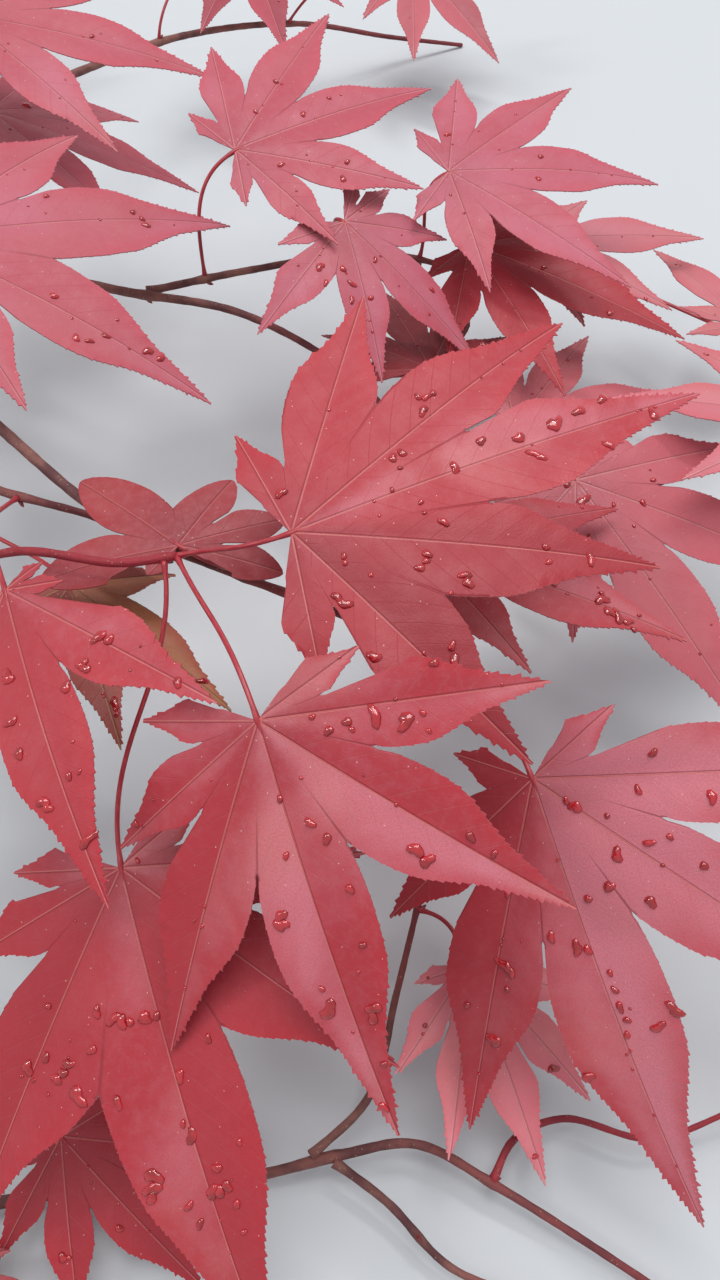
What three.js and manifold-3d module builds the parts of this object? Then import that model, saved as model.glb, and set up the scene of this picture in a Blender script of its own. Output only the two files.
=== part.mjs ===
// A leafy branch cut from a Japanese maple, lying on a level surface. Millimetres, +Z up.
// The cut end is at the front left, and the stem runs back along +Y behind the leaves.
// Every stem, twig and leaf is a solid of its own. A leaf is its blade with its stalk fused in.
import * as THREE from 'three';
import * as BufferGeometryUtils from 'three/addons/utils/BufferGeometryUtils.js';
import Module from 'manifold-3d';

const wasm = await Module();
wasm.setup();

// Driving dimensions of the blades.
const bladeThickness = 0.9;
const lobeHalfWidth = 0.133; // of the longest lobe, as a share of its length
const shortLobeWidth = 0.7; // how a shorter lobe's width goes down with its length
const lobeRoundness = 1.1;
const tailTaper = 0.33; // how much narrower than a plain oval a lobe's tail is
const tailTaperRun = [0.58, 0.8]; // and the shares of its length over which it narrows
const sinusDepth = 0.38; // how far out two neighbouring lobes part
const deepestSinus = 0.55; // and its limit, as a share of the shorter lobe
const marginGap = 0.3; // from a lobe's margin to the line midway to its neighbour
const foldRise = 0.16; // rise of a lobe's margin for each millimetre from its midrib
const bladeDroop = 0.1; // drop of the leaf's longest tip as a share of its length
const toothDepth = 0.07;
const marginSteps = 5; // points along one side of a lobe
const smallMarginSteps = 3; // and along one side of a small lobe
const smallLobe = 0.4; // a lobe up to this share of the longest one is small
const ribShares = [0, 0.4, 0.75]; // where a lobe's midrib has its points
const plainFan = [-108, -73, -37, 0, 37, 73, 108]; // the lobes' directions in degrees
const plainReach = [0.28, 0.6, 0.84, 1, 0.84, 0.6, 0.28]; // and their lengths
const outerHalfAngle = 17; // the free side of the two outermost lobes
const outerParting = 0.3;

// Driving dimensions of the stalks and twigs.
const stalkRadius = 0.55;
const stalkSides = 5;
const stalkSteps = 5;
const stalkSunk = 3; // how far the stalk runs on inside its blade
const stalkBend = 0.4; // how straight a stalk leaves its limb and meets its blade
const seat = 0.3; // the clearance where one limb meets another

// Where the middle of the branch's outline lies in the coordinates below.
const middle = new THREE.Vector3(-44, 186, 0);

// The limbs, thick end first: radius at the foot and at the tip, and the line they follow.
// A limb that springs from another starts at a share of that one's length.
const limbs = {
  main_stem: {
    radii: [3.6, 1.3], sides: 8, steps: 22, finish: 'bark',
    line: [[-128, -72, 3.6], [-121, 0, 13], [-113, 70, 36], [-109, 135, 57], [-112, 205, 65],
      [-121, 270, 60], [-131, 325, 46], [-143, 372, 28]],
  },
  twig_middle: {
    from: ['main_stem', 0.6], radii: [1.6, 0.8], sides: 6, steps: 14, finish: 'bark',
    line: [[-94, 168, 74], [-76, 148, 76], [-53, 130, 71], [-25, 119, 66], [-4, 112, 62], [22, 100, 58]],
  },
  twig_left: {
    from: ['main_stem', 0.53], radii: [1.3, 0.8], sides: 6, steps: 9, finish: 'bark',
    line: [[-97, 152, 65], [-81, 141, 68], [-72, 138, 68], [-61, 137, 64], [-52, 136, 58]],
  },
  shoot_front: {
    from: ['main_stem', 0.4], radii: [1.1, 0.9], sides: 6, steps: 9, finish: 'shoot',
    line: [[-98, 113, 64], [-72, 117, 78], [-47, 111, 83], [-36, 112, 84]],
  },
  twig_upper: {
    from: ['main_stem', 0.62], radii: [1.5, 0.8], sides: 6, steps: 14, finish: 'bark',
    line: [[-90, 214, 66], [-60, 212, 62], [-32, 210, 57], [-4, 200, 46], [14, 182, 39]],
  },
  twig_right: {
    from: ['twig_upper', 0.4], radii: [1.1, 0.7], sides: 6, steps: 9, finish: 'bark',
    line: [[-30, 226, 58], [5, 238, 54], [40, 240, 44], [72, 248, 38]],
  },
  twig_right_low: {
    from: ['twig_middle', 0.76], radii: [1.1, 0.7], sides: 6, steps: 9, finish: 'bark',
    line: [[14, 128, 53], [42, 150, 36], [70, 168, 30], [96, 180, 30]],
  },
  twig_top: {
    from: ['main_stem', 0.84], radii: [1.5, 0.8], sides: 6, steps: 12, finish: 'bark',
    line: [[-100, 330, 50], [-64, 374, 40], [-24, 404, 28], [12, 424, 12], [44, 438, 0.8]],
  },
  twig_side_left: {
    from: ['main_stem', 0.5], radii: [1.4, 0.8], sides: 6, steps: 9, finish: 'bark',
    line: [[-126, 172, 52], [-146, 190, 36], [-166, 206, 16], [-182, 222, 0.8]],
  },
  twig_low: {
    from: ['main_stem', 0.17], radii: [1.5, 0.7], sides: 6, steps: 14, finish: 'bark',
    line: [[-98, 0, 8], [-62, 4, 7], [-23, 7, 7], [-4, 11, 8], [12, 13, 8], [29, 5, 7], [57, -11, 4],
      [88, -30, 0.7]],
  },
  twig_low_back: {
    from: ['twig_low', 0.5], radii: [1, 0.7], sides: 6, steps: 7, finish: 'bark',
    line: [[2, 22, 12], [8, 42, 17], [14, 64, 20]],
  },
  twig_low_front: {
    from: ['twig_low', 0.52], radii: [1, 0.6], sides: 6, steps: 7, finish: 'bark',
    line: [[6, 2, 7], [18, -9, 5], [38, -17, 3.5], [54, -30, 0.6]],
  },
  twig_low_right: {
    from: ['twig_low', 0.68], radii: [0.9, 0.6], sides: 6, steps: 7, finish: 'shoot',
    line: [[33, 14, 7], [44, 18, 7], [62, 14, 8], [82, 20, 9]],
  },
  twig_low_left: {
    from: ['main_stem', 0.23], radii: [1.1, 0.7], sides: 6, steps: 6, finish: 'bark',
    line: [[-102, 32, 24], [-84, 36, 22], [-68, 32, 17]],
  },
};

// The leaves: the limb that holds each and where on it, the point where stalk and blade meet,
// the heading, downward pitch and roll of its longest lobe in degrees, and that lobe's length.
// Their colour is rose where no other is named.
const leaves = [
  {
    name: 'leaf_centre', on: ['shoot_front', 1], at: [-17.5, 72.5, 92], turn: [-70, 20, 27], size: 73,
    reach: [0.31, 0.5, 0.86, 1, 0.82, 0.68, 0.3], fan: [-109, -70, -38, -2, 41, 78, 105],
  },
  {
    name: 'leaf_upper_centre', on: ['shoot_front', 1], at: [-12.7, 109, 96],
    turn: [21, -6, 8], size: 86,
    reach: [0.28, 0.7, 0.8, 1.02, 0.88, 0.67, 0.29], fan: [-102, -67, -26, 1, 22, 55, 96],
  },
  {
    name: 'leaf_right', on: ['twig_middle', 1], at: [33, 72.5, 66], turn: [-71, 17, 36], size: 86,
    reach: [0.2, 0.5, 0.86, 1.03, 0.8, 0.72, 0.25], fan: [-125, -73, -34, -2, 38, 74, 112],
  },
  {
    name: 'leaf_left', on: ['twig_left', 0.6], at: [-66.8, 101.5, 88], turn: [-69, -1, 20], size: 63,
    reach: [0.28, 0.6, 0.84, 1, 0.79, 0.2, 0.14], fan: [-108, -73, -37, 0, 37, 68, 102],
  },
  {
    name: 'leaf_left_under', on: ['twig_left', 0.42], at: [-62.5, 117, 66], turn: [-64, -6, -14], size: 45,
    finish: 'olive',
    reach: [0.28, 0.6, 0.8, 0.92, 1, 0.52, 0.3], fan: [-108, -73, -39, -2, 30, 85, 120],
  },
  {
    name: 'leaf_lower_left', on: ['shoot_front', 0.97], at: [-45.5, 56.9, 60],
    turn: [-72, 12, 20], size: 95, web: 1.25,
    reach: [0.25, 0.4, 0.8, 1, 0.71, 0.5, 0.22], fan: [-106, -80, -43, 0, 40, 75, 110],
  },
  {
    name: 'leaf_behind_node', on: ['twig_middle', 0.7], at: [-37.2, 118.6, 78.5], turn: [138, 0, 0],
    size: 30, finish: 'dark', wide: 1.6, roundness: 0.65,
    reach: [0.74, 0.76, 0.7, 1, 0.98, 0.3], fan: [-152, -118, -76, 3, 54, 92],
  },
  {
    name: 'leaf_under_upper', on: ['twig_right_low', 0.25], at: [13, 123.5, 70],
    turn: [-16, 2, -4], size: 60,
    reach: [0.28, 0.6, 0.6, 1, 0.84, 0.6, 0.28],
  },
  {
    name: 'leaf_right_pale', on: ['twig_right_low', 0.62], at: [51, 150.5, 60], turn: [-56, 12, 5], size: 72,
    finish: 'pale',
    reach: [0.28, 0.5, 0.55, 1, 0.84, 0.6, 0.28],
  },
  {
    name: 'leaf_right_edge', on: ['twig_right_low', 0.94], at: [110, 163, 66], turn: [170, -8, 6], size: 50,
    finish: 'pale',
  },
  {
    name: 'leaf_right_back', on: ['twig_upper', 1], at: [42, 186, 40], turn: [20, 3, 0], size: 57,
    finish: 'pale',
  },
  {
    name: 'leaf_dark_behind', on: ['twig_upper', 0.86], at: [19, 197, 50], turn: [108, 6, 0], size: 44,
    finish: 'dark',
  },
  {
    name: 'leaf_top_left', on: ['main_stem', 0.64], at: [-98, 186, 100], turn: [29, 15, 10], size: 82,
    finish: 'pink',
    reach: [0.28, 0.6, 0.88, 1, 0.77, 0.6, 0.28], fan: [-108, -80, -44, 4, 36, 73, 108],
  },
  {
    name: 'leaf_top_left_high', on: ['main_stem', 0.78], at: [-106, 275, 100], turn: [-1, 8, 8], size: 67,
    finish: 'pink',
  },
  {
    name: 'leaf_top_left_back', on: ['main_stem', 0.74], at: [-106, 274, 74], turn: [2, 20, -6], size: 62,
    finish: 'dark',
  },
  {
    name: 'leaf_top_centre', on: ['twig_right', 0.12], at: [-32.2, 238, 86], turn: [29, -4, 12], size: 62,
    finish: 'pink',
    reach: [0.28, 0.6, 0.8, 0.96, 0.95, 0.63, 0.28],
  },
  {
    name: 'leaf_top_middle', on: ['twig_right', 0.4], at: [-3.9, 222.8, 76], turn: [-35, 24, 2], size: 50,
    finish: 'pink',
    reach: [0.4, 0.8, 0.86, 1, 0.6, 0.38, 0.3], fan: [-112, -84, -36, 0, 44, 85, 115],
  },
  {
    name: 'leaf_top_right', on: ['twig_right', 0.58], at: [24, 243.5, 76], turn: [5, 0, 6], size: 65,
    finish: 'pink',
    reach: [0.3, 0.61, 0.9, 0.92, 0.82, 0.65, 0.3], fan: [-125, -81, -42, 0, 41, 79, 112],
  },
  {
    name: 'leaf_under_top_right', on: ['twig_right', 0.7], at: [31, 237, 58],
    turn: [-28, 0, 4], size: 65,
    reach: [0.28, 0.6, 0.84, 1, 0.5, 0.42, 0.28],
  },
  {
    name: 'leaf_far_right', on: ['twig_right', 0.66], at: [50, 248.6, 50], turn: [8, 0, 4], size: 55,
    finish: 'pale',
    reach: [0.28, 0.6, 0.84, 1, 0.5, 0.4, 0.25],
  },
  {
    name: 'leaf_right_outer', on: ['twig_right', 1], at: [113, 224, 40], turn: [115, 2, 4], size: 46,
    finish: 'pale',
    reach: [0.28, 0.6, 0.84, 1, 0.45, 0.4, 0.25],
  },
  {
    name: 'leaf_low_pink', on: ['twig_low_back', 0.93], at: [23.6, 47.5, 22], turn: [-70, 8, -8], size: 46,
    finish: 'pale',
    fan: [-90, -56, -27, 0, 25, 56, 90],
  },
  {
    name: 'leaf_low_left', on: ['twig_low_left', 0.7], at: [-62, 14, 15], turn: [-42, 6, 6], size: 42,
    finish: 'pale',
  },
  {
    name: 'leaf_low_front', on: ['twig_low_left', 0.93], at: [-82, -8, 14], turn: [-100, 4, 0], size: 46,
    finish: 'dark',
  },
  {
    name: 'leaf_low_right', on: ['twig_low_right', 1], at: [100, 24, 22], turn: [10, 10, 0], size: 44,
    finish: 'pale',
  },
  {
    name: 'leaf_far', on: ['twig_top', 0.62], at: [20, 418, 44], turn: [-52, 10, 6], size: 54,
    finish: 'pale',
  },
  {
    name: 'leaf_far_left', on: ['twig_top', 0.36], at: [-42, 405, 56], turn: [-72, 8, 0], size: 53,
    finish: 'pink',
  },
  { name: 'leaf_stem_tip', on: ['main_stem', 1], at: [-150, 392, 34], turn: [104, 16, 0], size: 58 },
  {
    name: 'leaf_stem_tip_left', on: ['main_stem', 0.93], at: [-168, 340, 50], turn: [168, 18, 0], size: 56,
    finish: 'dark',
  },
  {
    name: 'leaf_side_high', on: ['main_stem', 0.47], at: [-140, 112, 66],
    turn: [222, 14, 0], size: 62,
  },
  {
    name: 'leaf_side_back', on: ['twig_side_left', 0.35], at: [-150, 214, 62],
    turn: [158, 16, 0], size: 60,
  },
  {
    name: 'leaf_side_low', on: ['twig_side_left', 0.7], at: [-182, 184, 34],
    turn: [200, 16, 0], size: 54,
  },
];

const finishes = {
  bark: { color: 0x6b4038, roughness: 0.75 },
  shoot: { color: 0x9a2f3c, roughness: 0.5 },
  rose: { color: 0xb94b5a, roughness: 0.45 },
  pink: { color: 0xc26a78, roughness: 0.45 },
  pale: { color: 0xc98a8e, roughness: 0.55 },
  dark: { color: 0x843238, roughness: 0.5 },
  olive: { color: 0x6e5a3c, roughness: 0.55 },
};

const radians = THREE.MathUtils.degToRad;

function finish(kind) {
  return new THREE.MeshStandardMaterial({ ...finishes[kind], metalness: 0 });
}

// A point on a limb's line, its direction there and its radius.
function placeOn(limb, share) {
  return {
    point: limb.curve.getPointAt(share),
    along: limb.curve.getTangentAt(share).normalize(),
    radius: THREE.MathUtils.lerp(limb.radii[0], limb.radii[1], share),
  };
}

// The way straight out of a limb's side that leads nearest to a target.
function outward(place, target) {
  const way = target.clone().sub(place.point);
  return way.addScaledVector(place.along, -way.dot(place.along)).normalize();
}

// Where a limb starts: clear of its parent by the seat, whichever way its foot is turned.
function footOf(limb) {
  const [parent, share] = limb.from;
  const place = placeOn(limbs[parent], share);
  const target = new THREE.Vector3(...limb.line[0]);
  const out = outward(place, target);
  const way = target.clone().sub(place.point).normalize();
  const tilt = Math.sqrt(1 - way.dot(out) ** 2);
  return place.point.clone().addScaledVector(out, place.radius + seat + limb.radii[0] * tilt);
}

function lineOf(limb) {
  const points = limb.line.map((p) => new THREE.Vector3(...p));
  if (limb.from) points.unshift(footOf(limb));
  return new THREE.CatmullRomCurve3(points, false, 'centripetal');
}

// A tapering round limb: a cylinder of unit size whose rings are laid along the line.
function limbGeometry(limb) {
  const geometry = new THREE.CylinderGeometry(1, 1, 1, limb.sides, limb.steps);
  const position = geometry.attributes.position;
  const v = new THREE.Vector3();
  for (let i = 0; i < position.count; i += 1) {
    v.fromBufferAttribute(position, i);
    const place = placeOn(limb, THREE.MathUtils.clamp(0.5 - v.y, 0, 1));
    const side = new THREE.Vector3(0, 0, 1).cross(place.along).normalize();
    const top = place.along.clone().cross(side);
    const p = place.point.clone();
    p.addScaledVector(side, v.x * place.radius);
    p.addScaledVector(top, v.z * place.radius);
    position.setXYZ(i, p.x, p.y, p.z);
  }
  return geometry;
}

// The half width of a lobe at a distance along it: widest at the middle, drawn out to a tip. A
// leaf that is named wide has broad blunt lobes instead.
function halfWidth(leaf, length, x) {
  const widest = lobeHalfWidth * leaf.size * (length / leaf.size) ** shortLobeWidth;
  const oval = Math.sin((Math.PI * x) / length) ** (leaf.roundness ?? lobeRoundness);
  if (leaf.wide) return leaf.wide * widest * oval;
  return widest * oval * (1 - tailTaper * THREE.MathUtils.smoothstep(x / length, ...tailTaperRun));
}

// The height of the blade over its flat plan, r from the junction and y from the midrib.
function bladeHeight(leaf, r, y) {
  return foldRise * Math.abs(y) - (bladeDroop * r * r) / leaf.size;
}

// One side of a lobe, from where it parts from its neighbour to just before its tip.
function marginOf(leaf, length, halfAngle, parting) {
  const start = parting * Math.cos(halfAngle);
  const spare = parting * Math.sin(halfAngle) - halfWidth(leaf, length, start);
  const count = length > smallLobe * leaf.size ? marginSteps : smallMarginSteps;
  const points = [[start, parting * Math.sin(halfAngle)]];
  for (let i = 1; i < count; i += 1) {
    const q = (i / count) ** 0.9;
    const x = start + (length - start) * q;
    const tooth = 1 + toothDepth * (i % 2 ? 1 : -1) * (1 + q);
    const wide = (halfWidth(leaf, length, x) + spare * (1 - q) ** 3) * tooth;
    points.push([x, Math.min(wide, x * Math.tan(halfAngle) - marginGap)]);
  }
  return points;
}

// Triangles between two rows of vertices that run the same way, by their distance from the start.
function zip(inner, outer, reachOf, flip) {
  const faces = [];
  let i = 0;
  let j = 0;
  while (i < inner.length - 1 || j < outer.length - 1) {
    const stepInner = j === outer.length - 1
      || (i < inner.length - 1 && reachOf(inner[i + 1]) <= reachOf(outer[j + 1]));
    const third = stepInner ? inner[i + 1] : outer[j + 1];
    const face = flip ? [inner[i], third, outer[j]] : [inner[i], outer[j], third];
    if (new Set(face).size === 3) faces.push(face);
    if (stepInner) i += 1;
    else j += 1;
  }
  return faces;
}

// The blade lying in its own plane: junction at the origin, longest lobe along +X.
function bladeGeometry(leaf) {
  const fan = (leaf.fan ?? plainFan).map(radians);
  const lengths = (leaf.reach ?? plainReach).map((share) => share * leaf.size);
  const last = fan.length - 1;
  const top = [[0, 0, 0]];
  const faces = [];
  const border = [0];

  const add = (angle, x, y) => {
    const c = Math.cos(angle);
    const s = Math.sin(angle);
    top.push([x * c - y * s, x * s + y * c, bladeHeight(leaf, Math.hypot(x, y), y)]);
    return top.length - 1;
  };
  const partingOf = (i) => {
    const short = Math.min(lengths[i], lengths[i + 1]);
    const depth = sinusDepth * (leaf.web ?? 1) * Math.sqrt(lengths[i] * lengths[i + 1]);
    return Math.min(depth, deepestSinus * short);
  };

  let shared = null;
  fan.forEach((angle, i) => {
    const length = lengths[i];
    const free = [radians(outerHalfAngle), outerParting * length];
    const right = i === 0 ? free : [(angle - fan[i - 1]) / 2, partingOf(i - 1)];
    const left = i === last ? free : [(fan[i + 1] - angle) / 2, partingOf(i)];
    const tip = add(angle, length, 0);
    const rightRow = marginOf(leaf, length, ...right);
    const leftRow = marginOf(leaf, length, ...left);
    const rightIds = rightRow.map(([x, y]) => add(angle, x, -y));
    if (shared !== null) rightIds[0] = shared;
    const leftIds = leftRow.map(([x, y]) => add(angle, x, y));
    const start = (rightRow[0][0] + leftRow[0][0]) / 2;
    const ribIds = ribShares.map((share) => add(angle, start + (length - start) * share, 0));
    const reachOf = (id) => top[id][0] * Math.cos(angle) + top[id][1] * Math.sin(angle);
    faces.push(...zip([0, ...ribIds, tip], [0, ...rightIds, tip], reachOf, false));
    faces.push(...zip([0, ...ribIds, tip], [0, ...leftIds, tip], reachOf, true));
    border.push(...(shared === null ? rightIds : rightIds.slice(1)), tip, ...leftIds.slice().reverse());
    shared = leftIds[0];
  });

  const count = top.length;
  const under = top.map(([x, y, z]) => [x, y, z - bladeThickness]);
  const solid = [...faces, ...faces.map(([a, b, c]) => [a + count, c + count, b + count])];
  border.forEach((a, k) => {
    const b = border[(k + 1) % border.length];
    solid.push([b, a, a + count], [b, a + count, b + count]);
  });
  const geometry = new THREE.BufferGeometry();
  geometry.setAttribute('position', new THREE.Float32BufferAttribute([...top, ...under].flat(), 3));
  geometry.setIndex(solid.flat());
  return geometry;
}

// From the leaf's own plane to its place on the branch.
function poseOf(leaf) {
  const [heading, pitch, roll] = leaf.turn.map(radians);
  const turn = new THREE.Euler(roll, pitch, heading, 'ZYX');
  return new THREE.Matrix4().makeRotationFromEuler(turn).setPosition(...leaf.at);
}

// The stalk: straight out of its limb, then bending into the line of the longest lobe.
function stalkGeometry(leaf) {
  const [parent, share] = leaf.on;
  const place = placeOn(limbs[parent], share);
  const pose = poseOf(leaf);
  const inBlade = (x) => new THREE.Vector3(x, 0, -bladeThickness / 2).applyMatrix4(pose);
  const end = inBlade(stalkSunk);
  const out = share === 1 ? end.clone().sub(place.point).normalize() : outward(place, end);
  const aside = share === 1 ? Math.sqrt(1 - out.dot(place.along) ** 2) : 1;
  const start = place.point.clone().addScaledVector(out, place.radius * aside + seat);
  const bend = start.distanceTo(end) * stalkBend;
  const leaving = start.clone().addScaledVector(out, bend);
  const path = new THREE.CubicBezierCurve3(start, leaving, inBlade(-bend), end);
  const section = new THREE.Shape();
  for (let i = 0; i < stalkSides; i += 1) {
    const a = (2 * Math.PI * i) / stalkSides;
    const corner = [stalkRadius * Math.cos(a), stalkRadius * Math.sin(a)];
    if (i === 0) section.moveTo(...corner);
    else section.lineTo(...corner);
  }
  const along = { steps: stalkSteps, extrudePath: path, bevelEnabled: false };
  return new THREE.ExtrudeGeometry(section, along);
}

function toSolid(geometry) {
  const bare = geometry.clone();
  bare.deleteAttribute('normal');
  bare.deleteAttribute('uv');
  const merged = BufferGeometryUtils.mergeVertices(bare, 1e-4);
  const vertProperties = new Float32Array(merged.attributes.position.array);
  const triVerts = new Uint32Array(merged.index.array);
  return new wasm.Manifold(new wasm.Mesh({ numProp: 3, vertProperties, triVerts }));
}

function toGeometry(solid) {
  const mesh = solid.getMesh();
  const geometry = new THREE.BufferGeometry();
  geometry.setAttribute('position', new THREE.BufferAttribute(new Float32Array(mesh.vertProperties), 3));
  geometry.setIndex(new THREE.BufferAttribute(new Uint32Array(mesh.triVerts), 1));
  return geometry;
}

function leafGeometry(leaf) {
  const blade = bladeGeometry(leaf).applyMatrix4(poseOf(leaf));
  return toGeometry(toSolid(blade).add(toSolid(stalkGeometry(leaf))));
}

const branch = new THREE.Group();

function place(name, geometry, kind) {
  const mesh = new THREE.Mesh(geometry, finish(kind));
  mesh.name = name;
  mesh.position.copy(middle).negate();
  branch.add(mesh);
}

for (const [name, limb] of Object.entries(limbs)) {
  limb.curve = lineOf(limb);
  place(name, limbGeometry(limb), limb.finish);
}
for (const leaf of leaves) {
  place(leaf.name, leafGeometry(leaf), leaf.finish ?? 'rose');
}

export default branch;
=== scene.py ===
"""A leafy branch cut from a japanese maple, wet with rain, dressed over its plain solids.

Lengths below are in millimetres, and each finished mesh is brought to metres.
"""

import random
from math import atan2, cos, exp, hypot, pi, radians, sin, sqrt, tan

import bmesh
import bpy
from mathutils import Euler, Matrix, Vector
from mathutils.bvhtree import BVHTree


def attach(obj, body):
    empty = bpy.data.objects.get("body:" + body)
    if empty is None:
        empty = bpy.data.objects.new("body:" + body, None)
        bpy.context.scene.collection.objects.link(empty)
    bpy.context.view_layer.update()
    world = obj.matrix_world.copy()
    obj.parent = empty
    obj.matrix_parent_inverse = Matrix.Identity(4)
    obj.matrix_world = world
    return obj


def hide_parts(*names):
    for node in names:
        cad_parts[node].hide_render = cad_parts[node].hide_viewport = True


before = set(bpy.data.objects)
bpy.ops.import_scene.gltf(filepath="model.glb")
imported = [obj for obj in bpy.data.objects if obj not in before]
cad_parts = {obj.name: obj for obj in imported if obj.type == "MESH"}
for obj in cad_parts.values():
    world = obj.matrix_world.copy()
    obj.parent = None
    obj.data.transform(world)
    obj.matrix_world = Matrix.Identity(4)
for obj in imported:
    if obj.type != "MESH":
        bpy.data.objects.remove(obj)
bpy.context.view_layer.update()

MM = 0.001
UP = Vector((0, 0, 1))
MIDDLE = Vector((-44, 186, 0))  # where the branch's outline has its middle in the lines below
ROOTED = 0.7  # how far a finished twig or stalk reaches back into the limb that bears it

# The view and the light. The lamps' places and sizes are in metres, and their power in watts.
EYE = Vector((0, 0, 245))  # where the photograph was taken from
VIEW_TILT = 30  # degrees between the view and straight down
LENS, SENSOR = 28, 36  # the lens's length and the picture's height behind it
CLIP = (0.01, 20)
PICTURE = (720, 1280)  # the photograph's pixels across and down
ROOM_COLOUR, ROOM_LIGHT = (0.93, 0.96, 1.0, 1), 0.72
LIT_POINT = Vector((0.02, 0, 0.05))  # what the lamps are turned to
LAMPS = (
    ("sky_lamp", (0.05, 0.16, 1.3), (0.8, 0.5), 7.1),
    ("glint_back", (0.3, 0.5, 1.1), (0.5, 0.1), 3.6),
    ("glint_left", (-0.9, -0.1, 1.0), (0.1, 0.5), 3.0),
)
FLOOR_REACH = 4  # metres from its middle to its edges

# The leaf's form, the same as the solids have.
LOBE_HALF_WIDTH = 0.133  # of the longest lobe, as a share of its length
SHORT_LOBE_WIDTH = 0.7  # the power of its length that a shorter lobe's width follows
LOBE_ROUNDNESS = 1.1
SINUS_DEPTH = 0.38  # how far out two lobes part, as a share of their length
DEEPEST_SINUS = 0.55
MARGIN_GAP = 0.3
FOLD_RISE = 0.16  # how steeply a lobe folds up from its midrib
BLADE_DROOP = 0.1  # how far a lobe's tip bends down, as a share of its length
OUTER_HALF_ANGLE = 17
OUTER_PARTING = 0.3
PLAIN_FAN = (-108, -73, -37, 0, 37, 73, 108)
PLAIN_REACH = (0.28, 0.6, 0.84, 1, 0.84, 0.6, 0.28)
SOLID_THICKNESS = 0.9

# What the finished leaf adds to it.
BLADE_THICKNESS = 0.28
BLADE_LEVEL = -0.25  # the blade's upper face, below that of the solid
UPPER_FACING = 0.2  # how far up a face of the blade looks that has the upper side's paint
WELD = 0.004
CREASE = 40  # degrees between two faces that meet in a sharp edge
INNER_STATIONS = 10  # steps from the junction to where two lobes part
ACROSS = 8  # steps over a lobe's width
TAIL_TAPER = 0.33  # how much narrower than a plain oval a lobe's tail is
TAIL_TAPER_RUN = (0.58, 0.8)
FOLD_ROUNDING = 0.45
MARGIN_WAVE, MARGIN_WAVE_RUN = 0.12, 1.6
QUILTING = 0.07  # how far the blade rises between two side veins
TOOTH_PITCH = 1.2
TOOTH_DEPTH = 0.95  # on a lobe as long as the next value
TOOTHED_LENGTH = 86
TOOTH_JITTER = 0.18  # how far a tooth strays from even spacing, in pitches
TOOTH_SPREAD = (0.6, 1.3)
SHORT_TOOTH = 0.45  # every other tooth, against the long ones between
TOOTH_TIP = 0.7  # where in its pitch a tooth has its tip
TOOTH_FORWARDS, TOOTH_OUT = 1.1, 0.75  # which way its tip goes
VEIN_PITCH = 5.5
VEIN_SLANT, VEIN_BEND = 0.95, 0.022  # how a side vein runs forwards, and ever more so
VEIN_STAGGER = 0.4  # between the two sides of a midrib, in pitches
RIB_RADIUS = 0.32
RIB_TAPER = 0.75
RIB_POINTS, RIB_SIDES, RIB_RINGS = 8, 6, 18
RIB_REACH = 0.97
RIB_SUNK = 0.85  # how much of a midrib's radius is in the blade
STALK_RADIUS, STALK_SIDES, STALK_RING_PITCH = 0.5, 10, 1.1
STALK_SUNK = 3
STALK_BEND = 0.4
STALK_FOOT, STALK_FOOT_RUN = 0.55, 1.6  # how much thicker its foot is, and over what length
STALK_HEAD, STALK_HEAD_RUN = 0.3, 1.2
STALK_END = 0.35
CUT_RIM = 0.5
ROOT_FLARE = 0.35  # how much thicker a twig is where it leaves the limb that bears it
KNOT_SWELL = 0.2  # how much thicker a limb is where it bears a twig or a leaf
BARE_KNOTS = (0.3, 0.55, 0.8)  # where a limb that bears nothing has its knots
BARE_KNOT_SIZE = 0.8
AT_TIP = 0.98  # beyond this share of a limb, what it bears is at its tip
BARK_SUNK = 0.04
LIMB_RING_PITCH = 1.6
BUD_SIZE, TIP_BUD_SIZE = 0.9, 0.75
BUD_REACH, BUD_LEVEL = 3, 3.5  # a bud grows only where it stays clear of the floor

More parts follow.
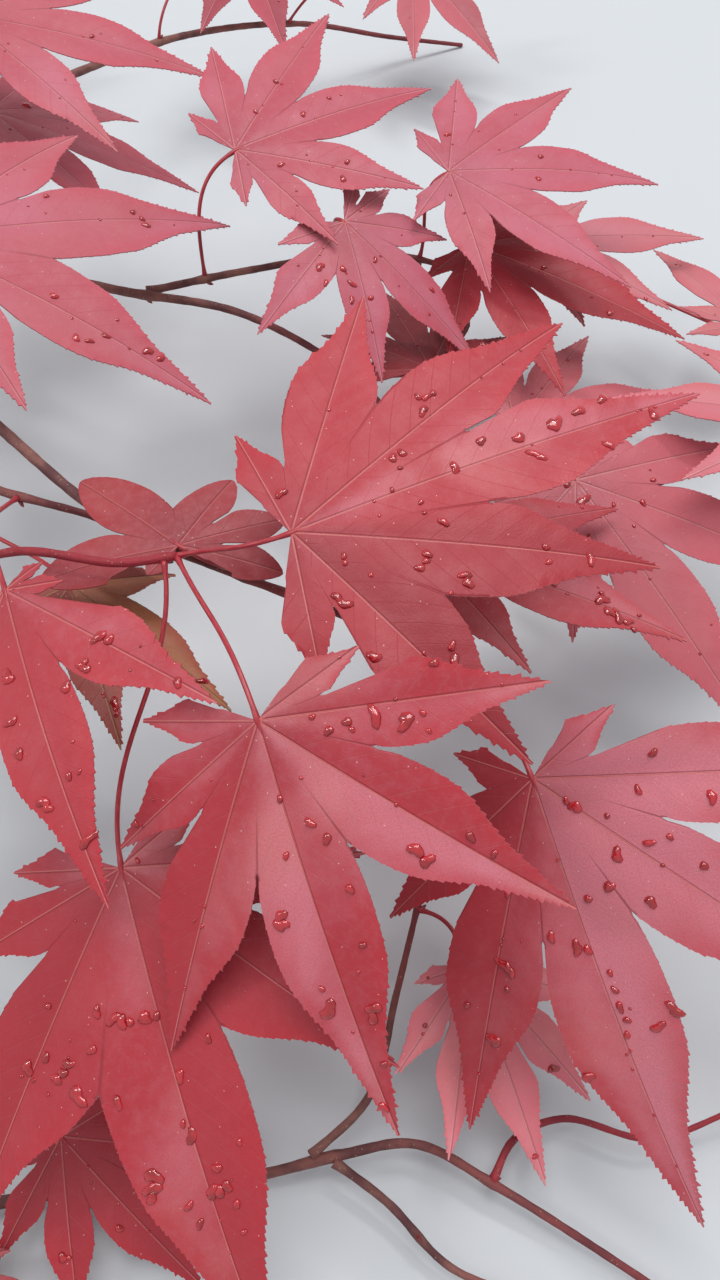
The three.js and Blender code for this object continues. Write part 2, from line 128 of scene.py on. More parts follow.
# The limbs: radius at the foot and tip, and the points that each follows.
LIMBS = {
    "main_stem": dict(radii=(3.6, 1.3), line=[
        (-128, -72, 3.6), (-121, 0, 13), (-113, 70, 36), (-109, 135, 57), (-112, 205, 65),
        (-121, 270, 60), (-131, 325, 46), (-143, 372, 28)]),
    "twig_middle": dict(stem=("main_stem", 0.6), radii=(1.6, 0.8), line=[
        (-94, 168, 74), (-76, 148, 76), (-53, 130, 71), (-25, 119, 66), (-4, 112, 62), (22, 100, 58)]),
    "twig_left": dict(stem=("main_stem", 0.53), radii=(1.3, 0.8), line=[
        (-97, 152, 65), (-81, 141, 68), (-72, 138, 68), (-61, 137, 64), (-52, 136, 58)]),
    "shoot_front": dict(stem=("main_stem", 0.4), radii=(1.1, 0.9), line=[
        (-98, 113, 64), (-72, 117, 78), (-47, 111, 83), (-36, 112, 84)]),
    "twig_upper": dict(stem=("main_stem", 0.62), radii=(1.5, 0.8), line=[
        (-90, 214, 66), (-60, 212, 62), (-32, 210, 57), (-4, 200, 46), (14, 182, 39)]),
    "twig_right": dict(stem=("twig_upper", 0.4), radii=(1.1, 0.7), line=[
        (-30, 226, 58), (5, 238, 54), (40, 240, 44), (72, 248, 38)]),
    "twig_right_low": dict(stem=("twig_middle", 0.76), radii=(1.1, 0.7), line=[
        (14, 128, 53), (42, 150, 36), (70, 168, 30), (96, 180, 30)]),
    "twig_top": dict(stem=("main_stem", 0.84), radii=(1.5, 0.8), line=[
        (-100, 330, 50), (-64, 374, 40), (-24, 404, 28), (12, 424, 12), (44, 438, 0.8)]),
    "twig_side_left": dict(stem=("main_stem", 0.5), radii=(1.4, 0.8), line=[
        (-126, 172, 52), (-146, 190, 36), (-166, 206, 16), (-182, 222, 0.8)]),
    "twig_low": dict(stem=("main_stem", 0.17), radii=(1.5, 0.7), line=[
        (-98, 0, 8), (-62, 4, 7), (-23, 7, 7), (-4, 11, 8), (12, 13, 8), (29, 5, 7), (57, -11, 4),
        (88, -30, 0.7)]),
    "twig_low_back": dict(stem=("twig_low", 0.5), radii=(1, 0.7), line=[
        (2, 22, 12), (8, 42, 17), (14, 64, 20)]),
    "twig_low_front": dict(stem=("twig_low", 0.52), radii=(1, 0.6), line=[
        (6, 2, 7), (18, -9, 5), (38, -17, 3.5), (54, -30, 0.6)]),
    "twig_low_right": dict(stem=("twig_low", 0.68), radii=(0.9, 0.6), line=[
        (33, 14, 7), (44, 18, 7), (62, 14, 8), (82, 20, 9)]),
    "twig_low_left": dict(stem=("main_stem", 0.23), radii=(1.1, 0.7), line=[
        (-102, 32, 24), (-84, 36, 22), (-68, 32, 17)]),
}
SHOOTS = ("shoot_front", "twig_low_right")


def leaf(name, on, at, turn, size, tint="rose", reach=PLAIN_REACH, fan=PLAIN_FAN, **more):
    """A leaf: its limb and the share along it, its junction, the heading, pitch and roll and length
    of its longest lobe, and its colour. Reach and fan have each lobe's share of that length and its
    heading, from right to left. More gives the painted tone of each lobe on either side of its midrib,
    from a dusty painted sheen through red to a deeper painted shade, how far all of them shift towards
    painted shade, another paint, and its web, width, teeth and rain."""
    return dict(name="leaf_" + name, on=on, at=Vector(at), turn=turn, size=size, tint=tint, reach=reach,
                fan=fan, **more)


# A tone runs from a dusty painted sheen at 0, through red at 1, to a deeper painted shade at 2.
LEAVES = [
    leaf("centre", ("shoot_front", 1), (-17.5, 72.5, 92), (-70, 20, 27), 73,
         reach=(0.31, 0.5, 0.86, 1, 0.82, 0.68, 0.3), fan=(-109, -70, -38, -2, 41, 78, 105),
         tones={0: (0.6, 0.6), 1: (0.9, 0.6), 2: (1.15, 0.75), 3: (0.3, 0.8), 4: (0.05, 0.75),
                5: (0.45, 0.7), 6: (0.35, 0.4)}),
    leaf("upper_centre", ("shoot_front", 1), (-12.7, 109, 96), (21, -6, 8), 86,
         reach=(0.35, 0.7, 0.8, 1.02, 0.88, 0.67, 0.29), fan=(-100, -67, -26, 1, 22, 55, 96), web=1.25,
         tones={0: (1.4, 1.4), 1: (1.25, 1.7), 2: (1.45, 1.5), 3: (0.8, 0.5), 4: (0.9, 1.1),
                5: (1.0, 1.1), 6: (1.15, 1.15)}),
    leaf("right", ("twig_middle", 1), (33, 72.5, 66), (-71, 17, 36), 86,
         reach=(0.2, 0.52, 0.86, 1.03, 0.8, 0.72, 0.25), fan=(-125, -67, -33, -2, 38, 74, 112),
         tones={0: (1.5, 1.5), 1: (1.4, 1.3), 2: (0.95, 0.8), 3: (0.6, 0.05), 4: (0.1, 0.0),
                5: (0.0, 0.0), 6: (0.3, 0.3)}),
    leaf("left", ("twig_left", 0.6), (-66.8, 101.5, 88), (-69, -1, 20), 63,
         reach=(0.28, 0.6, 0.84, 1, 0.79, 0.2, 0.14), fan=(-108, -73, -37, 0, 37, 68, 102),
         tones={2: (1.1, 1.1), 3: (1.2, 1.05), 4: (0.7, 0.55), 5: (1.0, 1.0), 6: (1.1, 1.1)}),
    leaf("left_under", ("twig_left", 0.42), (-62.5, 117, 66), (-64, -6, -14), 45, "olive",
         reach=(0.28, 0.6, 0.8, 0.92, 1, 0.52, 0.3), fan=(-108, -73, -39, -2, 30, 85, 120),
         tones={1: (1.1, 1.2), 2: (1.4, 1.4), 3: (1.1, 0.7), 4: (0.05, 0.2), 5: (0.4, 1.5),
                6: (1.4, 1.4)}),
    leaf("lower_left", ("shoot_front", 0.97), (-45.5, 56.9, 60), (-72, 12, 20), 95, web=1.25,
         reach=(0.25, 0.4, 0.8, 1, 0.66, 0.5, 0.22), fan=(-106, -80, -43, 0, 39, 75, 110),
         tones={0: (0.8, 0.8), 1: (1.1, 1.2), 2: (1.35, 1.1), 3: (0.75, 1.15), 4: (1.1, 0.9)}),
    leaf("behind_node", ("twig_middle", 0.7), (-37.2, 118.6, 78.5), (138, 0, 0), 30, "dark",
         reach=(0.74, 0.76, 0.7, 1, 0.98, 0.3), fan=(-152, -118, -76, 3, 54, 92), wide=1.6,
         roundness=0.65, toothed=0.12, rain=0),
    leaf("under_upper", ("twig_right_low", 0.25), (13, 123.5, 70), (-16, 2, -4), 60,
         reach=(0.28, 0.6, 0.6, 1, 0.84, 0.6, 0.28)),
    leaf("right_pale", ("twig_right_low", 0.62), (51, 150.5, 60), (-56, 12, 5), 72, "pale",
         reach=(0.28, 0.5, 0.55, 1, 0.84, 0.6, 0.28), deeper=0.5),
    leaf("right_edge", ("twig_right_low", 0.94), (110, 163, 66), (170, -8, 6), 50, "pale"),
    leaf("right_back", ("twig_upper", 1), (42, 186, 40), (20, 3, 0), 57, "pale"),
    leaf("dark_behind", ("twig_upper", 0.86), (19, 197, 50), (108, 6, 0), 44, "dark", deeper=0.7),
    leaf("top_left", ("main_stem", 0.64), (-98, 186, 100), (29, 15, 10), 82, "pink",
         reach=(0.28, 0.6, 0.88, 1, 0.77, 0.6, 0.28), fan=(-108, -80, -44, 4, 36, 73, 108)),
    leaf("top_left_high", ("main_stem", 0.78), (-106, 275, 100), (-1, 8, 8), 67, "pink"),
    # Painted light: a pinker paint lightens this leaf, which lies in shade.
    leaf("top_left_back", ("main_stem", 0.74), (-106, 274, 74), (2, 20, -6), 62, "dark", deeper=0.2,
         paint="pink"),
    leaf("top_centre", ("twig_right", 0.12), (-32.2, 238, 86), (29, -4, 12), 62, "pink",
         reach=(0.28, 0.6, 0.8, 0.96, 0.95, 0.63, 0.28), deeper=0.2),
    leaf("top_middle", ("twig_right", 0.4), (-3.9, 222.8, 76), (-35, 24, 2), 50, "pink",
         reach=(0.4, 0.8, 0.86, 1, 0.6, 0.38, 0.3), fan=(-112, -84, -36, 0, 44, 85, 115), deeper=-0.3),
    leaf("top_right", ("twig_right", 0.58), (24, 243.5, 76), (5, 0, 6), 65, "pink",
         reach=(0.3, 0.61, 0.9, 0.92, 0.82, 0.65, 0.3), fan=(-125, -81, -42, 0, 41, 79, 112)),
    leaf("under_top_right", ("twig_right", 0.7), (31, 237, 58), (-28, 0, 4), 65,
         reach=(0.28, 0.6, 0.84, 1, 0.5, 0.42, 0.28), deeper=0.9),
    leaf("far_right", ("twig_right", 0.66), (50, 248.6, 50), (8, 0, 4), 55, "pale",
         reach=(0.28, 0.6, 0.84, 1, 0.5, 0.4, 0.25), deeper=-0.4),
    leaf("right_outer", ("twig_right", 1), (113, 224, 40), (115, 2, 4), 46, "pale",
         reach=(0.28, 0.6, 0.84, 1, 0.45, 0.4, 0.25)),
    # Painted light: the paler tint lightens this leaf, which lies in shade.
    leaf("low_pink", ("twig_low_back", 0.93), (23.6, 47.5, 22), (-70, 8, -8), 46, "pale",
         fan=(-90, -56, -27, 0, 25, 56, 90), paint="lit_pale"),
    leaf("low_left", ("twig_low_left", 0.7), (-62, 14, 15), (-42, 6, 6), 42, "pale", paint="rose",
         deeper=0.8),
    leaf("low_front", ("twig_low_left", 0.93), (-82, -8, 14), (-100, 4, 0), 46, "dark"),
    leaf("low_right", ("twig_low_right", 1), (100, 24, 22), (10, 10, 0), 44, "pale"),
    leaf("far", ("twig_top", 0.62), (20, 418, 44), (-52, 10, 6), 54, "pale", deeper=1.0),
    leaf("far_left", ("twig_top", 0.36), (-42, 405, 56), (-72, 8, 0), 53, "pink", deeper=1.0),
    leaf("stem_tip", ("main_stem", 1), (-150, 392, 34), (104, 16, 0), 58),
    leaf("stem_tip_left", ("main_stem", 0.93), (-168, 340, 50), (168, 18, 0), 56, "dark"),
    leaf("side_high", ("main_stem", 0.47), (-140, 112, 66), (222, 14, 0), 62),
    leaf("side_back", ("twig_side_left", 0.35), (-150, 214, 62), (158, 16, 0), 60),
    leaf("side_low", ("twig_side_left", 0.7), (-182, 184, 34), (200, 16, 0), 54),
]


# ---- camera and light

def add(name, data):
    """An object at the origin."""
    made = bpy.data.objects.new(name, data)
    bpy.context.scene.collection.objects.link(made)
    return made


def look():
    """The photograph's view: from above and in front, sixty degrees down."""
    data = bpy.data.cameras.new("camera")
    data.lens = LENS
    data.sensor_fit = "VERTICAL"
    data.sensor_height = SENSOR
    data.clip_start, data.clip_end = CLIP
    camera = add("camera", data)
    camera.location = (EYE - MIDDLE) * MM
    camera.rotation_euler = (radians(VIEW_TILT), 0, 0)
    bpy.context.scene.camera = camera


def lit():
    """A large soft lamp over level leaves, two narrow ones that glint in the rain, and a bright room."""
    scene = bpy.context.scene
    scene.view_settings.view_transform = "Standard"
    world = bpy.data.worlds.new("room")
    world.use_nodes = True
    ground = world.node_tree.nodes["Background"]
    ground.inputs["Color"].default_value = ROOM_COLOUR
    ground.inputs["Strength"].default_value = ROOM_LIGHT
    scene.world = world
    for name, place, size, power in LAMPS:
        data = bpy.data.lights.new(name, "AREA")
        data.shape = "RECTANGLE"
        data.size, data.size_y = size
        data.energy = power
        lamp = add(name, data)
        lamp.location = place
        lamp.rotation_euler = (LIT_POINT - Vector(place)).to_track_quat("-Z", "Y").to_euler()


# ---- materials

class Paint:
    """A procedural material, put together node by node."""

    def __init__(self, name, roughness, bump=0.0, **sockets):
        self.material = bpy.data.materials.new(name)
        self.material.use_nodes = True
        self.tree = self.material.node_tree
        self.shader = self.tree.nodes["Principled BSDF"]
        self.shader.inputs["Roughness"].default_value = roughness
        for socket, value in sockets.items():
            self.shader.inputs[socket.replace("_", " ")].default_value = value
        self.bump_distance = bump

    def put(self, node, socket, value):
        target = node.inputs[socket]
        if isinstance(value, bpy.types.NodeSocket):
            self.tree.links.new(value, target)
        else:
            target.default_value = value

    def node(self, kind, settings=None, **inputs):
        made = self.tree.nodes.new(kind)
        for key, value in (settings or {}).items():
            setattr(made, key, value)
        for key, value in inputs.items():
            self.put(made, key.replace("_", " "), value)
        return made

    def uv(self, name):
        made = self.node("ShaderNodeUVMap", {"uv_map": name})
        split = self.node("ShaderNodeSeparateXYZ", Vector=made.outputs[0])
        return made.outputs[0], split.outputs[0], split.outputs[1]

    def calc(self, operation, *values):
        made = self.node("ShaderNodeMath", {"operation": operation})
        for k, value in enumerate(values):
            self.put(made, k, value)
        return made.outputs[0]

    def plus(self, first, second):
        return self.calc("ADD", first, second)

    def less(self, first, second):
        return self.calc("SUBTRACT", first, second)

    def times(self, first, second):
        return self.calc("MULTIPLY", first, second)

    def ramp(self, value, low, high, to_low=0.0, to_high=1.0):
        made = self.node("ShaderNodeMapRange", {"interpolation_type": "SMOOTHSTEP"}, Value=value)
        for key, number in (("From Min", low), ("From Max", high), ("To Min", to_low), ("To Max", to_high)):
            self.put(made, key, number)
        return made.outputs[0]

    def noise(self, vector, scale, detail=2.0, roughness=0.5, distortion=0.0):
        made = self.node("ShaderNodeTexNoise", Vector=vector, Scale=scale, Detail=detail,
                         Roughness=roughness, Distortion=distortion)
        return made.outputs["Fac"]

    def cells(self, vector, scale, feature="F1", output="Distance"):
        made = self.node("ShaderNodeTexVoronoi", {"feature": feature}, Vector=vector, Scale=scale)
        return made.outputs[output]

    def mix(self, factor, first, second):
        made = self.node("ShaderNodeMix", {"data_type": "RGBA"})
        self.put(made, 0, factor)
        self.put(made, 6, first)
        self.put(made, 7, second)
        return made.outputs[2]

    def stretched(self, vector, scale):
        return self.node("ShaderNodeMapping", Vector=vector, Scale=scale).outputs[0]

    def place(self):
        return self.node("ShaderNodeTexCoord").outputs["Object"]

    def finish(self, colour, roughness=None, height=None, strength=1.0):
        self.put(self.shader, "Base Color", colour)
        if roughness is not None:
            self.put(self.shader, "Roughness", roughness)
        if height is not None:
            bump = self.node("ShaderNodeBump", Height=height, Strength=strength,
                             Distance=self.bump_distance)
            self.put(self.shader, "Normal", bump.outputs[0])
        return self.material


def shade(red, green, blue):
    """A colour as a screen shows it, from 0 to 255, as the shader takes it."""
    def linear(c):
        c /= 255
        return c / 12.92 if c <= 0.04045 else ((c + 0.055) / 1.055) ** 2.4
    return (linear(red), linear(green), linear(blue), 1.0)


def toned(colour, red, green, blue):
    """A colour of which only these shares are left."""
    return (colour[0] * red, colour[1] * green, colour[2] * blue, 1.0)


DUSKY = shade(128, 62, 70)  # where a leaf's midribs meet
BLOOM = shade(174, 112, 120)  # the greyish bloom on its upper face
WARMER = (0.93, 0.9, 0.72)  # how its dusty painted-sheen tone turns browner in patches

# Dusty painted-sheen tone, red tone, margin, midrib and underside of each colour of leaf.
TINTS = {tint: [shade(*colour) for colour in colours] for tint, colours in {
    "rose": ((198, 114, 126), (164, 44, 54), (176, 38, 48), (204, 124, 116), (168, 86, 92)),
    "pink": ((182, 96, 112), (168, 66, 80), (184, 66, 80), (210, 142, 138), (174, 96, 102)),
    "pale": ((196, 116, 126), (182, 86, 96), (192, 84, 92), (214, 156, 150), (186, 116, 120)),
    # Painted light: a paler tint that lightens a leaf lying in shade.
    "lit_pale": ((222, 138, 146), (208, 108, 118), (208, 100, 108), (222, 168, 162), (196, 126, 130)),
    "dark": ((162, 66, 74), (134, 38, 44), (150, 40, 44), (184, 104, 96), (146, 72, 70)),
    "olive": ((170, 112, 78), (146, 62, 52), (164, 58, 50), (146, 150, 84), (136, 96, 74)),
}.items()}


def veins(paint, u, v, along):
    """Masks of the midrib, of the groove beside it, which darkens one side of the midrib as painted shade,
    and of the side veins.
    """
    away = paint.calc("ABSOLUTE", v)
    half = paint.calc("MULTIPLY_ADD", along, -0.008, 0.014)
    rib = paint.less(1.0, paint.ramp(paint.calc("DIVIDE", away, half), 0.7, 1.3))
    beside = paint.calc("ABSOLUTE", paint.less(v, 0.026))
    shaded_groove = paint.less(1.0, paint.ramp(beside, 0.006, 0.018))
    side = paint.calc("GREATER_THAN", v, 0.0)
    run = paint.less(u, paint.times(away, VEIN_SLANT))
    run = paint.less(run, paint.times(paint.times(away, away), 10 * VEIN_BEND))
    phase = paint.plus(paint.calc("DIVIDE", run, VEIN_PITCH / 10), paint.times(side, VEIN_STAGGER))
    off = paint.calc("ABSOLUTE", paint.less(paint.calc("FRACT", phase), 0.5))
    return rib, shaded_groove, paint.ramp(off, 0.475, 0.5)


def leaf_face(tint):
    """The upper face: satin, its middle between a dusty painted sheen, red and a deeper painted shade for
    each half of a lobe, redder to the margin, with fine veins, painted shade beside each midrib and in the
    creases, and pale painted glints.
    """
    dusty_sheen, red, margin_colour, rib_colour, _ = TINTS[tint]
    paint = Paint("leaf_" + tint, 0.42, bump=0.0003, Specular_IOR_Level=0.34, Sheen_Weight=0.12,
                  Sheen_Roughness=0.45, Sheen_Tint=shade(255, 190, 200))
    cm, u, v = paint.uv("leaf")
    _, along, side = paint.uv("form")
    _, tone, parted = paint.uv("tone")
    edge = paint.calc("ABSOLUTE", side)
    rib, shaded_groove, side_vein = veins(paint, u, v, along)
    place = paint.place()
    cloud = paint.noise(place, 38, 3, 0.55, 0.4)
    fine = paint.noise(cm, 30, 4, 0.7)
    warm = toned(dusty_sheen, *WARMER)
    dusty_sheen = paint.mix(paint.ramp(paint.noise(place, 24, 2), 0.4, 0.62, 0.0, 0.8), dusty_sheen, warm)
    # Painted sheen and shade: each half of a lobe has its own tone, dusty and pale where its fold would
    # catch the sky's sheen, red where it turns away, with random cloud over it.
    sheen_shade_flush = paint.plus(tone, paint.ramp(cloud, 0.3, 0.7, -0.25, 0.25))
    colour = paint.mix(paint.ramp(sheen_shade_flush, 0.0, 1.0), dusty_sheen, red)
    beyond = paint.times(paint.ramp(edge, 0.35, 1.0), paint.ramp(parted, 0.0, 0.35))
    colour = paint.mix(paint.times(beyond, 0.55), colour, margin_colour)
    deep = toned(red, 0.5, 0.5, 0.5)
    base = paint.node("ShaderNodeVectorMath", {"operation": "LENGTH"}, Vector=cm).outputs["Value"]
    colour = paint.mix(paint.ramp(base, 0.1, 1.9, 0.3, 0.0), colour, DUSKY)
    # Painted shade: tones beyond 1 darken a lobe that hangs in shade towards its deep red.
    colour = paint.mix(paint.ramp(tone, 1.0, 2.0, 0.0, 0.85), colour, deep)
    # Painted shade in the creases where two lobes meet; the bump also sinks them.
    shaded_crease = paint.times(paint.ramp(edge, 0.95, 1.0), paint.ramp(parted, -0.55, -0.1))
    shaded_crease = paint.times(shaded_crease, paint.calc("LESS_THAN", parted, 0.03))
    colour = paint.mix(paint.times(shaded_crease, 0.6), colour, deep)
    colour = paint.mix(paint.ramp(fine, 0.35, 0.7, 0.0, 0.36), colour, red)
    bloom = paint.ramp(paint.noise(cm, 5, 5, 0.75), 0.42, 0.7, 0.0, 0.2)
    bloom = paint.times(bloom, paint.ramp(tone, 0.5, 1.3, 1.0, 0.2))
    colour = paint.mix(bloom, colour, BLOOM)
    # The groove darkens one side of each midrib as painted shade.
    for mask, share, line_colour in ((side_vein, 0.08, rib_colour), (shaded_groove, 0.55, deep),
                                     (rib, 0.75, rib_colour)):
        colour = paint.mix(paint.times(mask, share), colour, line_colour)
    # Painted glints: scattered pale dots stand for the highlights of the tiniest drops.
    chance = paint.node("ShaderNodeSeparateColor", Color=paint.cells(cm, 9, output="Color"))
    chosen = paint.calc("GREATER_THAN", chance.outputs[0], 0.86)
    glint_speck = paint.times(chosen, paint.calc("LESS_THAN", paint.cells(cm, 9), 0.1))
    colour = paint.mix(paint.times(glint_speck, 0.55), colour, shade(236, 200, 196))
    net = paint.cells(cm, 8, "DISTANCE_TO_EDGE")
    height = paint.times(paint.ramp(net, 0.0, 0.12), 0.09)
    for mask, depth in ((fine, 0.2), (side_vein, -0.3), (shaded_groove, -0.5), (shaded_crease, -1.0)):
        height = paint.calc("MULTIPLY_ADD", mask, depth, height)
    roughness = paint.ramp(paint.noise(place, 180, 2), 0.3, 0.7, 0.42, 0.54)
    return paint.finish(colour, roughness, height, 0.5)


def leaf_underside(tint):
    """The underside: duller and paler, its veins standing out."""
    _, deep, _, rib_colour, under = TINTS[tint]
    paint = Paint("leaf_" + tint + "_under", 0.62, bump=0.0004, Specular_IOR_Level=0.35)
    cm, u, v = paint.uv("leaf")
    _, along, _ = paint.uv("form")
    rib, _, side_vein = veins(paint, u, v, along)
    fine = paint.noise(cm, 20, 3, 0.6)
    net = paint.ramp(paint.cells(cm, 7, "DISTANCE_TO_EDGE"), 0.0, 0.1)
    colour = paint.mix(paint.ramp(fine, 0.3, 0.7, 0.0, 0.45), under, deep)
    colour = paint.mix(paint.calc("MULTIPLY_ADD", net, -0.25, 0.25), colour, rib_colour)
    colour = paint.mix(paint.times(side_vein, 0.5), colour, rib_colour)
    height = paint.less(paint.plus(side_vein, rib), paint.times(net, 0.3))
    return paint.finish(colour, None, height, 0.5)


def rib_paint():
    """Stalks and midribs: smooth and red, with browner streaks."""
    paint = Paint("leaf_stalk", 0.34, bump=0.0002, Specular_IOR_Level=0.5)
    cm, _, _ = paint.uv("leaf")
    streak = paint.noise(paint.stretched(cm, (1.2, 9, 1)), 3, 3, 0.6)
    colour = paint.mix(paint.ramp(streak, 0.35, 0.75), shade(150, 24, 42), shade(172, 62, 64))
    return paint.finish(colour, None, streak, 0.3)


def bark(name, dark, light, young, roughness):
    """Thin bark with long cracks and pale breathing pores, redder to the tip."""
    paint = Paint(name, roughness, bump=0.0005, Specular_IOR_Level=0.35)
    cm, _, _ = paint.uv("leaf")
    _, along, _ = paint.uv("form")
    place = paint.place()
    cloud = paint.noise(place, 90, 4, 0.65)
    grain = paint.noise(paint.stretched(cm, (2.2, 14, 1)), 2.0, 5, 0.65)
    colour = paint.mix(paint.ramp(cloud, 0.35, 0.68), dark, light)
    turning = paint.plus(along, paint.ramp(cloud, 0.3, 0.7, -0.15, 0.15))
    colour = paint.mix(paint.ramp(turning, 0.35, 1.05, 0.0, 0.85), colour, young)
    crack = toned(dark, 0.45, 0.45, 0.45)
    colour = paint.mix(paint.ramp(grain, 0.5, 0.8, 0.0, 0.6), colour, crack)
    pore_place = paint.stretched(cm, (5, 2.2, 1))
    pores = paint.less(1.0, paint.ramp(paint.cells(pore_place, 2.4), 0.07, 0.16))
    colour = paint.mix(paint.times(pores, 0.7), colour, shade(188, 158, 132))
    height = paint.plus(paint.times(grain, -0.7), paint.times(pores, 0.6))
    return paint.finish(colour, None, height, 0.7)


def bud_paint():
    """Bud scales: dark shining red with browner patches."""
    paint = Paint("bud_scales", 0.38, bump=0.0002)
    place = paint.place()
    patch = paint.noise(place, 700, 3, 0.6)
    colour = paint.mix(paint.ramp(patch, 0.4, 0.65), shade(96, 26, 32), shade(150, 66, 58))
    return paint.finish(colour, None, patch, 0.4)


def cut_wood():
    """The face of the cut: pale damp wood with a ring or two about its pith."""
    paint = Paint("cut_wood", 0.7, bump=0.0002)
    cm, _, _ = paint.uv("leaf")
    out = paint.node("ShaderNodeVectorMath", {"operation": "LENGTH"}, Vector=cm).outputs["Value"]
    grain = paint.noise(cm, 40, 3, 0.6)
    ring = paint.calc("FRACT", paint.calc("MULTIPLY_ADD", out, 9.0, paint.times(grain, 0.25)))
    colour = paint.mix(paint.ramp(ring, 0.55, 1.0), shade(206, 176, 134), shade(168, 128, 88))
    colour = paint.mix(paint.ramp(out, 0.03, 0.06, 1.0, 0.0), colour, shade(120, 82, 58))
    return paint.finish(colour, None, grain, 0.5)


def water_paint():
    """Rain water lying on a red leaf: glossy, and clear down to the deep red under it."""
    paint = Paint("rain_water", 0.03, bump=0.0004, Specular_IOR_Level=0.8, Transmission_Weight=0.22,
                  IOR=1.4, Coat_Weight=0.6, Coat_Roughness=0.03, Coat_IOR=1.6)
    place = paint.place()
    depth = paint.noise(place, 420, 2, 0.5)
    ripple = paint.noise(place, 1500, 2, 0.5)
    colour = paint.mix(paint.ramp(depth, 0.35, 0.65), shade(192, 28, 40), shade(156, 6, 18))
    return paint.finish(colour, None, ripple, 0.2)


def floor_paint():
    """The floor: matt, pale and grey."""
    paint = Paint("pale_floor", 0.75)
    place = paint.place()
    cloud = paint.noise(place, 3, 3, 0.5)
    return paint.finish(paint.mix(cloud, shade(188, 191, 194), shade(196, 199, 202)))


# ---- lines that limbs and stalks follow

class Line:
    """A smooth line through points, read by the share of its length."""

    def __init__(self, points, fine=24):
        ends = [points[0] * 2 - points[1], *points, points[-1] * 2 - points[-2]]
        self.points = []
        for before, start, stop, after in zip(ends, ends[1:], ends[2:], ends[3:]):
            ahead, own, past = (sqrt((b - a).length)
                                for a, b in ((before, start), (start, stop), (stop, after)))
            slope = (stop - start) / own
            leaving = (start - before) / ahead - (stop - before) / (ahead + own) + slope
            coming = slope - (after - start) / (own + past) + (after - stop) / past
            self.points += [hermite(start, stop, leaving * own, coming * own, k / fine)
                            for k in range(fine)]
        self.points.append(points[-1].copy())
        self.measure()

    def measure(self):
        self.lengths = [0.0]
        for a, b in zip(self.points, self.points[1:]):
            self.lengths.append(self.lengths[-1] + (b - a).length)
        self.length = self.lengths[-1]

    def at(self, share):
        want = min(max(share, 0.0), 1.0) * self.length
        k = 1
        while k < len(self.lengths) - 1 and self.lengths[k] < want:
            k += 1
        part = (want - self.lengths[k - 1]) / max(self.lengths[k] - self.lengths[k - 1], 1e-9)
        return self.points[k - 1].lerp(self.points[k], part)

    def along(self, share):
        step = 0.004
        return (self.at(min(share + step, 1)) - self.at(max(share - step, 0))).normalized()


class Bend(Line):
    """A line that leaves one point and comes to another in given directions."""

    def __init__(self, start, leaving, coming, end, fine=48):
        self.points = []
        for k in range(fine + 1):
            t = k / fine
            s = 1 - t
            self.points.append(start * s ** 3 + leaving * 3 * s * s * t
                               + coming * 3 * s * t * t + end * t ** 3)
        self.measure()


def hermite(start, stop, leaving, coming, t):
    t2, t3 = t * t, t * t * t
    return (start * (2 * t3 - 3 * t2 + 1) + stop * (3 * t2 - 2 * t3)
            + leaving * (t3 - 2 * t2 + t) + coming * (t3 - t2))


def radius_on(limb, share):
    foot, tip = limb["radii"]
    return foot + (tip - foot) * share


def outward(line, share, target):
    """The way straight out of a limb's side that leads nearest to a target."""
    point, along = line.at(share), line.along(share)
    way = target - point
    return (way - along * way.dot(along)).normalized()


def grow_lines():
    """Lays every limb and stalk from the one that bears it, and notes what each limb bears."""
    for limb in LIMBS.values():
        points = [Vector(p) for p in limb["line"]]
        limb["joins"] = []
        if "stem" in limb:
            name, share = limb["stem"]
            parent = LIMBS[name]
            parent["joins"].append(share)
            start = parent["curve"].at(share)
            out = outward(parent["curve"], share, points[0])
            tilt = sqrt(max(0.0, 1 - (points[0] - start).normalized().dot(out) ** 2))
            points.insert(0, start + out * (radius_on(parent, share) + limb["radii"][0] * tilt - ROOTED))
        limb["curve"] = Line(points)
    for one in LEAVES:
        name, share = one["on"]
        one["pose"] = (Matrix.Translation(one["at"])
                       @ Euler([radians(a) for a in reversed(one["turn"])], "XYZ").to_matrix().to_4x4())
        one["stalk"] = stalk_line(one)
        LIMBS[name]["joins"].append(share)


def stalk_line(one):
    """A stalk's line, from its limb's side or tip to just under the blade."""
    name, share = one["on"]
    limb = LIMBS[name]
    line = limb["curve"]
    end = one["pose"] @ Vector((STALK_SUNK, 0, -SOLID_THICKNESS / 2))
    point, along = line.at(share), line.along(share)
    if share == 1:
        out = (end - point).normalized()
        aside = sqrt(max(0.0, 1 - out.dot(along) ** 2))
    else:
        out, aside = outward(line, share, end), 1.0
    start = point + out * (radius_on(limb, share) * aside - ROOTED / 2)
    bend = (end - start).length * STALK_BEND
    coming = one["pose"] @ Vector((-bend, 0, -SOLID_THICKNESS / 2))
    return Bend(start, start + out * bend, coming, end)


# ---- making meshes

UV_MAPS = ("leaf", "form", "tone")  # place in centimetres, share of the lobe, and its painted tone of sheen and shade
UPPER, UNDER, RIB = 0, 1, 2  # the order of a leaf's materials
BARK, BUD, SAWN = 0, 1, 2  # and of a limb's


def new_mesh():
    bm = bmesh.new()
    for name in UV_MAPS:
        bm.loops.layers.uv.new(name)
    return bm


def as_mesh(name, bm):
    """Ends a shape's making."""
    mesh = bpy.data.meshes.new(name)
    bm.to_mesh(mesh)
    bm.free()
    return mesh


def pour(bm, into):
    """Adds a finished shape to a larger one."""
    part = as_mesh("part", bm)
    into.from_mesh(part)
    bpy.data.meshes.remove(part)


